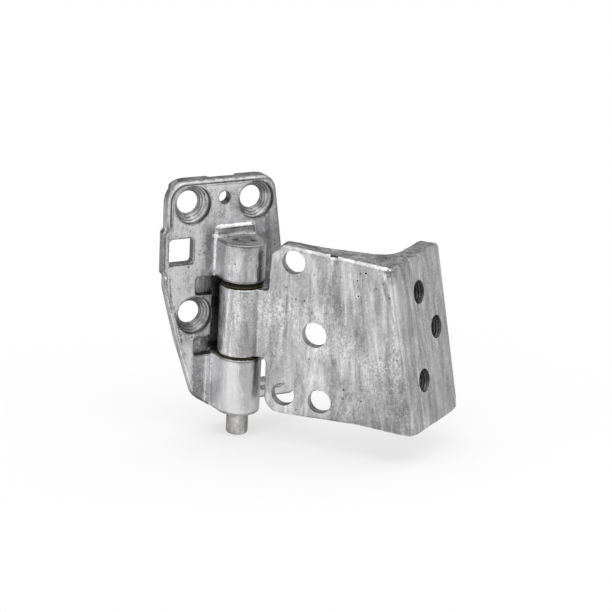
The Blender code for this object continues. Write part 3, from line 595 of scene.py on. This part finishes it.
def make_pillar_bracket(materials):
    recess, wall = 1, 2  # numbers in materials
    fillers = []
    for number, place in enumerate(SCREWS):
        radius = SCREW_HEAD_RADIUS + 0.8 * MM
        fillers.append(lathe(f"fill_{number}", [(radius, -FILL_DEPTH), (radius, 0)],
                             front_frame(place.x, place.z, LEAF_FRONT)))
    radius = DOWEL_RADIUS + 0.75 * MM
    fillers.append(lathe("fill_dowel", [(radius, -FILL_DEPTH), (radius, 0)],
                         front_frame(DOWEL.x, DOWEL.z, LEAF_FRONT)))
    item = casting("pillar_casting", "pillar_bracket", Matrix.Identity(4), fillers)
    points = coordinates(item.data)
    panel = (np.abs(points[:, 0]) < 16 * MM) & (np.abs(points[:, 2] - 47.5 * MM) < 5 * MM)
    smooth(item, 2)
    smooth(item, 7, 1.0 - panel)
    rim(item.data)
    points = coordinates(item.data)
    from_axis = np.hypot(points[:, 0] - AXIS.x, points[:, 1] - AXIS.y)
    low_end = near(np.abs(points[:, 2] + 53.2 * MM), 2 * MM, 5 * MM)
    smooth(item, 40, low_end * (from_axis < 16 * MM) * (points[:, 1] < -12 * MM))
    thin_out(item)
    for place in SCREWS:
        cut(item, lathe("screw_cut", screw_profile(),
                        front_frame(place.x, place.z, LEAF_FRONT), 128))
    cut(item, lathe("dowel_cut", [(DOWEL_RADIUS, -12 * MM), (DOWEL_RADIUS, 2 * MM)],
                    front_frame(DOWEL.x, DOWEL.z, LEAF_FRONT)))
    radius = PIN_RADIUS + 0.12 * MM
    cut(item, lathe("pin_cut", [(radius, -60 * MM), (radius, 50 * MM)], Matrix.Translation(AXIS)))
    mesh = item.data
    points = coordinates(mesh)
    middles = face_middles(mesh)
    from_screw = np.min([np.hypot(points[:, 0] - at.x, points[:, 2] - at.z)
                         for at in SCREWS], axis=0)
    mesh.attributes.new("ring", "FLOAT", "POINT").data.foreach_set("value", from_screw)
    choice = np.zeros(len(middles), np.int32)
    for at in SCREWS:
        across = np.hypot(middles[:, 0] - at.x, middles[:, 2] - at.z)
        inside = across < SCREW_HEAD_RADIUS + 0.12 * MM
        inside &= (middles[:, 1] > LEAF_FRONT + 0.02 * MM) & (middles[:, 1] < -0.2 * MM)
        choice[inside & (across > SCREW_RADIUS - 0.05 * MM)] = recess
        choice[inside & (across < SCREW_RADIUS + 0.05 * MM)] = wall
    # The window's inner faces, the dowel hole and the pin bore also take the darker drilled metal,
    # as painted shade
    window = np.abs(middles[:, 0] - WINDOW.x) < WINDOW_HALF[0] + 0.2 * MM
    window &= np.abs(middles[:, 2] - WINDOW.z) < WINDOW_HALF[1] + 0.2 * MM
    choice[window & (middles[:, 1] > LEAF_FRONT + 0.7 * MM)] = wall
    across = np.hypot(middles[:, 0] - DOWEL.x, middles[:, 2] - DOWEL.z)
    choice[across < DOWEL_RADIUS + 0.1 * MM] = wall
    across = np.hypot(middles[:, 0] - AXIS.x, middles[:, 1] - AXIS.y)
    choice[across < PIN_RADIUS + 0.2 * MM] = wall
    return finish_piece(item, materials, "pillar_side", "pillar_bracket", choice)


# The door bracket

def flange_frame():
    """Origin on the flange's outer face at the front corner. +X runs along it, +Z out of it."""
    along = Vector((math.sin(FLANGE_OPENING), math.cos(FLANGE_OPENING), 0))
    down = Vector((FLANGE_LEAN, 0, -1)).normalized()
    out = down.cross(along).normalized()
    if out.x < 0:
        out = -out
    side = out.cross(along)
    directions = Matrix((along, side, out)).transposed().to_4x4()
    return Matrix.Translation((FLANGE_REACH, DOOR_FRONT, 0)) @ directions


def tapped_places():
    face = flange_frame()
    side, out = face.col[1].to_3d(), face.col[2].to_3d()
    for along, height in TAPPED_HOLES:
        centre = face @ Vector((along * MM, 0, 0))
        centre += side * (height * MM - centre.z) / side.z
        yield centre, out


def blemish(mesh):
    """The lump and dent that the casting's corner carries at its top."""
    points = coordinates(mesh)
    for middle, size, height in (((84.2, -5.0, 41.2), 1.5, 1.5), ((85.8, -4.4, 39.6), 1.1, -1.8),
                                 ((87.2, -3.8, 41.2), 1.0, 1.4), ((82.0, -5.4, 39.2), 1.0, -0.7)):
        away = points - np.array(middle, np.float32) * MM
        share = np.exp(-(away ** 2).sum(axis=1) / (size * MM) ** 2) * height * MM
        points += share[:, None] * np.array((-0.2, -0.9, 0.35), np.float32)
    mesh.vertices.foreach_set("co", points.ravel())


def make_door_bracket(materials):
    wall, shaded_hollow = 1, 2  # numbers in materials
    fillers = []
    for number, (x, z, radius) in enumerate(BOLTS):
        wide = (radius + 0.7) * MM
        fillers.append(lathe(f"fill_{number}", [(wide, -DOOR_WEB + 0.4 * MM), (wide, 0)],
                             front_frame(x * MM, z * MM, DOOR_FRONT)))
    for number, (centre, out) in enumerate(tapped_places()):
        fillers.append(lathe(f"fill_tap_{number}", [(7 * MM, -9 * MM), (7 * MM, 0)],
                             axis_frame(centre, out)))
    # The wall above the upper bolt's seat is too thin for the grid, so it is thickened inwards
    fillers.append(block("fill_roof", (30.6, 1.8, 45.32), (14, 5.4, 1.0), 0.077))
    item = casting("door_casting", "door_bracket", DOOR_FRAME.inverted(), fillers)
    smooth(item, 16)
    points = coordinates(item.data)
    corner = FLANGE_REACH - FLANGE_LEAN * points[:, 2]
    from_corner = np.hypot(points[:, 0] - corner, points[:, 1] - DOOR_FRONT)
    smooth(item, 60, near(from_corner, 3 * MM, 6 * MM))
    points = coordinates(item.data)
    front_edge = near(points[:, 1], DOOR_FRONT + 1.5 * MM, DOOR_FRONT + 3.5 * MM)
    smooth(item, 14, front_edge * (points[:, 0] > 16 * MM))
    points = coordinates(item.data)
    ends = [points[np.argmax(points @ np.array(way, np.float32))]
            for way in ((0, 1, 1), (0, 1, -1), (1, -1, -0.8))]
    ends = [np.linalg.norm(points - end, axis=1) for end in ends]
    chamfer = [np.hypot(points[:, 0] - x * MM, points[:, 2] - z * MM)
               for x, z in ((23.4, 45.6), (14.6, 36.6))]
    smooth(item, 70, np.maximum(near(np.min(ends, axis=0), 2.5 * MM, 6 * MM),
                                near(np.min(chamfer, axis=0), 3 * MM, 7 * MM)))
    blemish(item.data)
    thin_out(item)
    middle = (NOTCH_MIDDLE / MM, DOOR_FRONT / MM - 0.3, NOTCH_BOTTOM / MM + 4)
    cut(item, block("notch", middle, (4.2, 5.6, 8)))
    pits = []
    for x, z, radius, depth in PITS:
        profile = [(0, -depth * MM), (radius * 0.6 * MM, -depth * 0.7 * MM), (radius * MM, 0),
                   (radius * 1.3 * MM, 0.4 * MM)]
        pits.append(lathe("pit", profile, front_frame(x * MM, z * MM, DOOR_FRONT), 14))
    first = pits.pop()
    join(first, pits)
    cut(item, first)
    for x, z, radius in BOLTS:
        cut(item, lathe("bolt_cut", [(radius * MM, -9 * MM), (radius * MM, 2 * MM)],
                        front_frame(x * MM, z * MM, DOOR_FRONT), 128))
    holes = list(tapped_places())
    for centre, out in holes:
        place = axis_frame(centre, out)
        cut(item, threaded_core("tap_cut", place, TAP_RADIUS, 14 * MM))
        cut(item, lathe("mouth_cut", [(TAP_RADIUS + 0.5 * MM, -1.2 * MM),
                                      (TAP_RADIUS + 1.1 * MM, 0.4 * MM)], place))
    middles = face_middles(item.data)
    choice = np.zeros(len(middles), np.int32)
    # The bolt holes' walls take the darker bored metal, partly as painted shade
    for x, z, radius in BOLTS:
        across = np.hypot(middles[:, 0] - x * MM, middles[:, 2] - z * MM)
        choice[across < (radius + 0.1) * MM] = wall
    # The pits, the notch and the tapped holes take the near-black metal, as painted shade
    for x, z, radius, depth in PITS:
        away = np.linalg.norm(middles - np.array((x * MM, DOOR_FRONT, z * MM)), axis=1)
        choice[(away < (depth + 0.2) * MM) & (middles[:, 1] > DOOR_FRONT + 0.06 * MM)] = shaded_hollow
    slot = np.abs(middles[:, 0] - NOTCH_MIDDLE) < 2.13 * MM
    slot &= (middles[:, 1] > DOOR_FRONT + 0.1 * MM) & (middles[:, 1] < DOOR_FRONT + 2.55 * MM)
    slot &= (middles[:, 2] > NOTCH_BOTTOM - 0.02 * MM) & (middles[:, 2] < 44.6 * MM)
    choice[slot] = shaded_hollow
    for centre, out in holes:
        gap = middles - np.array(centre)
        along = gap @ np.array(out)
        across = np.linalg.norm(gap - np.outer(along, np.array(out)), axis=1)
        inside = (along < -0.04 * MM) & (along > -FLANGE_THICKNESS)
        choice[inside & (across < TAP_RADIUS + 1.1 * MM)] = shaded_hollow
    item.data.transform(DOOR_FRAME)
    return finish_piece(item, materials, "door_side", "door_bracket", choice)


# The pin, the bushes and the washer

def make_pin(materials):
    shaded_hollow, end_face = 1, 2  # numbers in materials
    top = PIN_TOP + 0.25 * MM
    profile = [(0, PIN_BOTTOM), (PIN_RADIUS - 1.3 * MM, PIN_BOTTOM),
               (PIN_RADIUS - 0.6 * MM, PIN_BOTTOM + 0.2 * MM),
               (PIN_RADIUS - 0.15 * MM, PIN_BOTTOM + 0.7 * MM),
               (PIN_RADIUS, PIN_BOTTOM + 1.4 * MM), (PIN_RADIUS, top - 0.4 * MM),
               (PIN_RADIUS - 0.1 * MM, top - 0.1 * MM), (PIN_RADIUS - 0.4 * MM, top), (0, top)]
    item = lathe("turned_pin", profile, Matrix.Translation(AXIS), 128)
    for x, y in STAKES:
        at = AXIS + Vector((x * MM, y * MM, top))
        cut(item, lathe("punch", [(0, -1.8 * MM), (1.1 * MM, -1.5 * MM), (1.5 * MM, 0.3 * MM)],
                        Matrix.Translation(at), 20))
    middles = face_middles(item.data)
    choice = np.zeros(len(middles), np.int32)
    # The pin's top face takes a darker copy of the pin metal, as painted shade
    choice[middles[:, 2] > top - 0.05 * MM] = end_face
    # The punch marks take the near-black metal, as painted shade
    for x, y in STAKES:
        across = np.hypot(middles[:, 0] - AXIS.x - x * MM, middles[:, 1] - AXIS.y - y * MM)
        choice[(across < 1.4 * MM) & (np.abs(middles[:, 2] - top + 1 * MM) < 0.99 * MM)] = shaded_hollow
    return finish_piece(item, materials, "pillar_side", "hinge_pin", choice)


def ring(name, inner, outer, low, high, edge=0.15 * MM):
    """A tube about the pin's axis, with small bevels on its outer edges."""
    profile = [(outer - edge, low), (outer, low + edge),
               (outer, high - edge), (outer - edge, high)]
    item = lathe(name, profile, Matrix.Translation(AXIS), 128)
    cut(item, lathe("hollow", [(inner, low - 1 * MM), (inner, high + 1 * MM)],
                    Matrix.Translation(AXIS), 128))
    return item


def make_bush(cad_node, material):
    """A sleeve with a thin flange at its outer end."""
    low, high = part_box(cad_node)
    outer = (high.x - low.x) / 2
    top = cad_node == "upper_bush"
    flange = (0.9 if top else 0.7) * MM
    sleeve = ring(cad_node + "_sleeve", 6.08 * MM, 7.58 * MM, low.z, high.z)
    lip = ring(cad_node + "_rim", 6.6 * MM, outer, high.z - flange if top else low.z,
               high.z if top else low.z + flange)
    cut(sleeve, lip, "UNION")
    finish_piece(sleeve, [material], "door_side", cad_node)


def make_washer(material):
    low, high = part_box("thrust_washer")
    washer = ring("washer_ring", 6.1 * MM, (high.x - low.x) / 2, low.z, high.z)
    finish_piece(washer, [material], "pillar_side", "thrust_washer")


# Materials. A mark is a box: its middle, half sizes, border and factor. A calm or pitted area is
# one without the factor. A line is x, z, x, z, width and factor. All are in millimetres in the
# bracket's own frame. Many marks and some lines paint shade and highlights.

# Painted shade on the pocket floor, the knuckles, the upper knuckle's top face and the scoop above
# it, the leaf's top edge and left side face, and in bands beside both knuckles; painted highlights
# on the fillets beside the lower knuckle and on a ridge at the upper one. The rest lighten patches
# of the leaf and darken the window's bottom edge.
leaf_light_and_tone_marks = [
    ((2.1, -5.9, -0.3), (25.4, 1.8, 22.6), 0.5, 0.62),
    ((-20.0, -8.5, -36), (2.9, 1.5, 15), 0.8, 0.64),
    ((-12.4, -20, -37), (0.35, 13, 16), 0.35, 1.45),
    ((-15.4, -10, -37), (0.3, 2.8, 15), 0.35, 1.5),
    ((-28, -8.5, -28), (2.6, 1, 12), 2, 1.25), ((-32.3, -8.2, 30.4), (7, 1.2, 0.5), 0.5, 0.3),
    ((-16.2, -8.5, 36), (1.3, 1, 10), 1, 0.75), ((-43.2, -5.5, 37.5), (1.0, 3.4, 13), 0.6, 0.7),
    ((-32, -8.5, 66), (2, 1, 6), 3, 1.15), ((-34, -8.5, 20), (3, 1, 9), 3, 1.15),
    ((0, -24, -38), (14, 13, 18), 1, 0.97), ((0, -27, 33), (14, 12, 10.6), 0.6, 0.88),
    ((0, -22, 45.2), (14, 11.5, 1.6), 0.4, 0.68), ((-4, -10, 45.0), (10, 2.5, 0.4), 0.4, 1.7),
    ((-2, -10, 47.4), (12, 3, 1.4), 0.5, 0.75), ((-8, -2, 80), (50, 7, 4.2), 0.8, 0.55),
    ((-37, -8.5, -14), (2.5, 1, 16), 3, 1.2)]
leaf_calm = [((0, -21, -38), (13.5, 10.5, 17), 1.5), ((-12.5, -16, 32), (1.4, 6, 12), 1)]
leaf_pits = [((-30, -8.5, 31), (9, 1, 3.5), 3), ((8, -30, 30), (3, 3, 9), 3)]
# Streaks of tone, with painted highlights along the leaf's left border, painted shade beside them,
# and a band of painted shade left of the upper knuckle
leaf_streaks_and_light_lines = [
    (-18.6, 75.5, -13.1, 71.7, 1.8, 1.3), (-6.8, 63.5, -4.1, 52.3, 1.3, 1.2),
    (-15.9, 51.0, -14.9, 26.7, 2.4, 0.76), (-22.9, 50.3, -21.0, 24.8, 2.4, 1.12),
    (-35.1, 23.6, -35.2, 5.2, 1.1, 1.3), (-39.1, 26.3, -37.1, 3.4, 0.7, 0.62),
    (-41.0, 18.1, -27.4, -28.9, 1.0, 1.35), (-27.8, -25.9, -22.8, -44.5, 1.0, 1.35),
    (-38.7, 16.7, -26.2, -31.1, 0.6, 0.6), (21, 71, 24, 30, 2, 1.12),
    (1.5, 72, 2.5, 56, 1.5, 1.15), (-28, -2, -24, -22, 1.6, 0.85)]
# Painted highlights on the corner's lump, beside it and down the rounded corner, on the plate near
# the corner and on the knuckle; painted shade on the plate's top face. The rest darken a streak
# below the lump and a band beside the knuckle, and lighten a patch on the knuckle's front.
door_light_and_tone_marks = [
    ((91.4, -5.0, 38.6), (0.3, 2.5, 1.0), 1.9, 0.42),
    ((90.8, -5.5, 42.0), (2.6, 2, 1.3), 0.6, 1.8),
    ((88.0, -5.6, 36.6), (0.3, 1.5, 1.6), 1.0, 1.45),
    ((92.8, -5.0, -6), (1.4, 1.7, 38), 1.8, 1.35),
    ((86, -5.6, -6), (5, 1.5, 36), 4, 1.1), ((-1.5, 0, 0), (12, 13, 20), 1, 1.24),
    ((5.5, -12, 8), (1.6, 3, 5), 1.5, 1.3), ((58, 2, 50), (48, 6.5, 4.6), 1, 0.7),
    ((19, -5.6, 0), (6, 1.5, 36), 4, 0.88)]
door_pits = [
    ((73, -5.6, 31), (1.8, 1, 8), 2.5), ((84, -5.6, 34), (2.5, 1, 4), 2.5),
    ((30, -5.6, 20), (5, 1, 5), 4), ((60, -5.6, -35), (3, 1, 6), 3)]
door_lines = [
    (41.3, 41.9, 44.4, 8.8, 1.7, 1.22), (54.8, 34.2, 57.8, 0.8, 2.6, 0.8),
    (72.8, 33.9, 76.5, 12.6, 1.8, 1.22), (78.7, 38.2, 85.5, 22.3, 1.5, 0.78),
    (69.0, 5.9, 75.1, -8.6, 3.4, 0.82), (66.5, -35.2, 66.2, -45.4, 1.6, 1.25),
    (87.9, 3.6, 93.4, -28.5, 2.0, 1.16), (67.4, -15.1, 66.7, -30.6, 1.7, 1.18),
    (81.7, 5.1, 89.5, -36.8, 2.6, 0.86), (45.0, -6.1, 46.1, -22.7, 1.5, 1.22),
    (20, 30, 21.5, -10, 2, 0.9), (35.5, 26, 36.5, 8, 1.4, 0.84), (60.5, 28, 62, -20, 1.8, 1.1),
    (54, -12, 56, -38, 2.4, 0.86)]
silver = cast_metal("bracket_casting", turn=0.0, level=0.75, streaks=0.4, clouds=0.85,
                    grains=0.75, lean=0.0, edge_shade=0.5, marks=leaf_light_and_tone_marks, calm=leaf_calm,
                    pitted=leaf_pits, lines=leaf_streaks_and_light_lines)
# The door bracket's casting is darker than the pillar bracket's: partly a rougher tone, partly
# painted shade
door_silver = cast_metal("door_bracket_casting", turn=-DOOR_ANGLE, level=0.53, streaks=0.85,
                         clouds=0.5, grains=0.8, lean=FLANGE_LEAN, edge_shade=0.05,
                         marks=door_light_and_tone_marks, calm=[], pitted=door_pits, lines=door_lines)
turned = turned_metal("turned_recess")
# Darker copies of the metal for the hole walls: partly a machined finish, partly painted shade,
# darkest in the pillar bracket
drilled_and_shaded = plain_metal("drilled_wall_shaded", (1, 0.99, 1), 0.27, 0.4, 1.6, 700)
bored_and_shaded = plain_metal("bored_wall_shaded", (1, 0.99, 1), 0.42, 0.4, 1.6, 700)
# Near-black metal that paints shade into threads, pits, the notch and the punch marks
shadowed = plain_metal("shadowed_hollow_wall", (1, 1, 1.02), 0.13, 0.5, 2.2, 800)
steel = plain_metal("pin_metal", (1, 0.99, 0.97), 0.42, 0.4, 1.6, 560)
# A darker copy of the pin metal: painted shade on the pin's top face
shaded_pin_end = plain_metal("pin_end_shaded", (1, 0.99, 0.97), 0.32, 0.4, 1.8, 500)
bronze = plain_metal("bush_metal", (1, 0.85, 0.45), 0.1, 0.45, 1.4, 900)
black = plain_metal("washer_face", (1, 1, 1), 0.01, 0.75, 0.5, 900, 0.0)

# The pieces

make_pillar_bracket([silver, turned, drilled_and_shaded])
make_door_bracket([door_silver, bored_and_shaded, shadowed])
make_pin([steel, shadowed, shaded_pin_end])
for bush in ("upper_bush", "lower_bush"):
    make_bush(bush, bronze)
make_washer(black)


# Floor, light and camera

def make_floor():
    side = 6.0
    level = PIN_BOTTOM - 0.2 * MM
    mesh = bpy.data.meshes.new("floor")
    mesh.from_pydata([(-side, -side, level), (side, -side, level), (side, side, level),
                      (-side, side, level)], [], [(0, 1, 2, 3)])
    floor = add_object("floor", mesh)
    material, tree, shader = new_material("floor_paint")
    shader.inputs["Base Color"].default_value = (0.92, 0.92, 0.92, 1)
    shader.inputs["Roughness"].default_value = 0.9
    shader.inputs["Specular IOR Level"].default_value = 0.0
    spot = node(tree, "NewGeometry").outputs["Position"]
    way = node(tree, "VectorMath", {0: spot, 1: (0.02, -0.04, level)}, operation="SUBTRACT")
    way = node(tree, "VectorMath", {0: way.outputs[0]}, operation="NORMALIZE")
    way = node(tree, "SeparateXYZ", {0: way.outputs[0]})
    mirrored = node(tree, "Emission", {"Strength": side_light(tree, way.outputs[0], way.outputs[1],
                                                            BACK_OF_FLOOR)})
    white = node(tree, "Emission", {"Strength": 1.0})
    pale = node(tree, "MixShader", {0: 0.6, 1: shader.outputs[0], 2: white.outputs[0]})
    path = node(tree, "LightPath").outputs
    plain = node(tree, "MixShader", {0: path["Is Camera Ray"], 1: shader.outputs[0],
                                     2: pale.outputs[0]})
    both = node(tree, "MixShader", {0: path["Is Glossy Ray"], 1: plain.outputs[0],
                                    2: mirrored.outputs[0]})
    tree.links.new(both.outputs[0], tree.nodes["Material Output"].inputs[0])
    mesh.materials.append(material)


def side_light(tree, x, y, behind):
    """How bright the studio is towards a level direction: strongest on the left, weakest ahead.
    behind is the share that is left at the back."""
    level = maths(tree, "MULTIPLY_ADD", ramp(tree, x, -0.4, -0.9), 0.6, 0.5)
    level = maths(tree, "MULTIPLY_ADD", ramp(tree, x, 0.0, 0.5), 0.34, level)
    level = maths(tree, "MULTIPLY_ADD", ramp(tree, x, 0.6, 0.9), -0.17, level)
    return maths(tree, "MULTIPLY", level, ramp(tree, y, -0.05, 0.6, 1, behind))


def make_world():
    world = bpy.data.worlds.new("studio")
    bpy.context.scene.world = world
    world.use_nodes = True
    tree = world.node_tree
    tree.nodes.clear()
    x, y, z = node(tree, "SeparateXYZ", {0: node(tree, "TexCoord").outputs["Generated"]}).outputs
    overhead = ramp(tree, z, 0.62, 0.86)
    level = maths(tree, "MULTIPLY", side_light(tree, x, y, BACK_OF_STUDIO),
                  maths(tree, "SUBTRACT", 1.0, overhead))
    level = maths(tree, "MULTIPLY_ADD", overhead, OVERHEAD, level)
    studio = node(tree, "Background", {"Color": (1, 1, 1, 1), "Strength": level})
    white = node(tree, "Background", {"Color": (1, 1, 1, 1), "Strength": 1.0})
    seen = node(tree, "LightPath").outputs["Is Camera Ray"]
    both = node(tree, "MixShader", {0: seen, 1: studio.outputs[0], 2: white.outputs[0]})
    out = tree.nodes.new("ShaderNodeOutputWorld")
    tree.links.new(both.outputs[0], out.inputs[0])


def make_camera():
    azimuth, elevation, roll = (math.radians(a) for a in CAMERA_TURN)
    level = math.cos(elevation)
    back = Vector((math.sin(azimuth) * level, -math.cos(azimuth) * level, math.sin(elevation)))
    right = Vector((math.cos(azimuth), math.sin(azimuth), 0))
    up = back.cross(right)
    side = math.cos(roll) * right + math.sin(roll) * up
    upright = -math.sin(roll) * right + math.cos(roll) * up
    lens = bpy.data.cameras.new("camera")
    lens.sensor_width = SENSOR_WIDTH
    lens.lens = SENSOR_WIDTH * FOCAL_SHARE
    lens.clip_start = 0.01
    camera = add_object("camera", lens)
    place = Matrix((side, upright, back)).transposed().to_4x4()
    camera.matrix_world = Matrix.Translation(CAMERA_PLACE) @ place
    bpy.context.scene.camera = camera


make_floor()
make_world()
make_camera()
bpy.context.scene.view_settings.view_transform = "Standard"
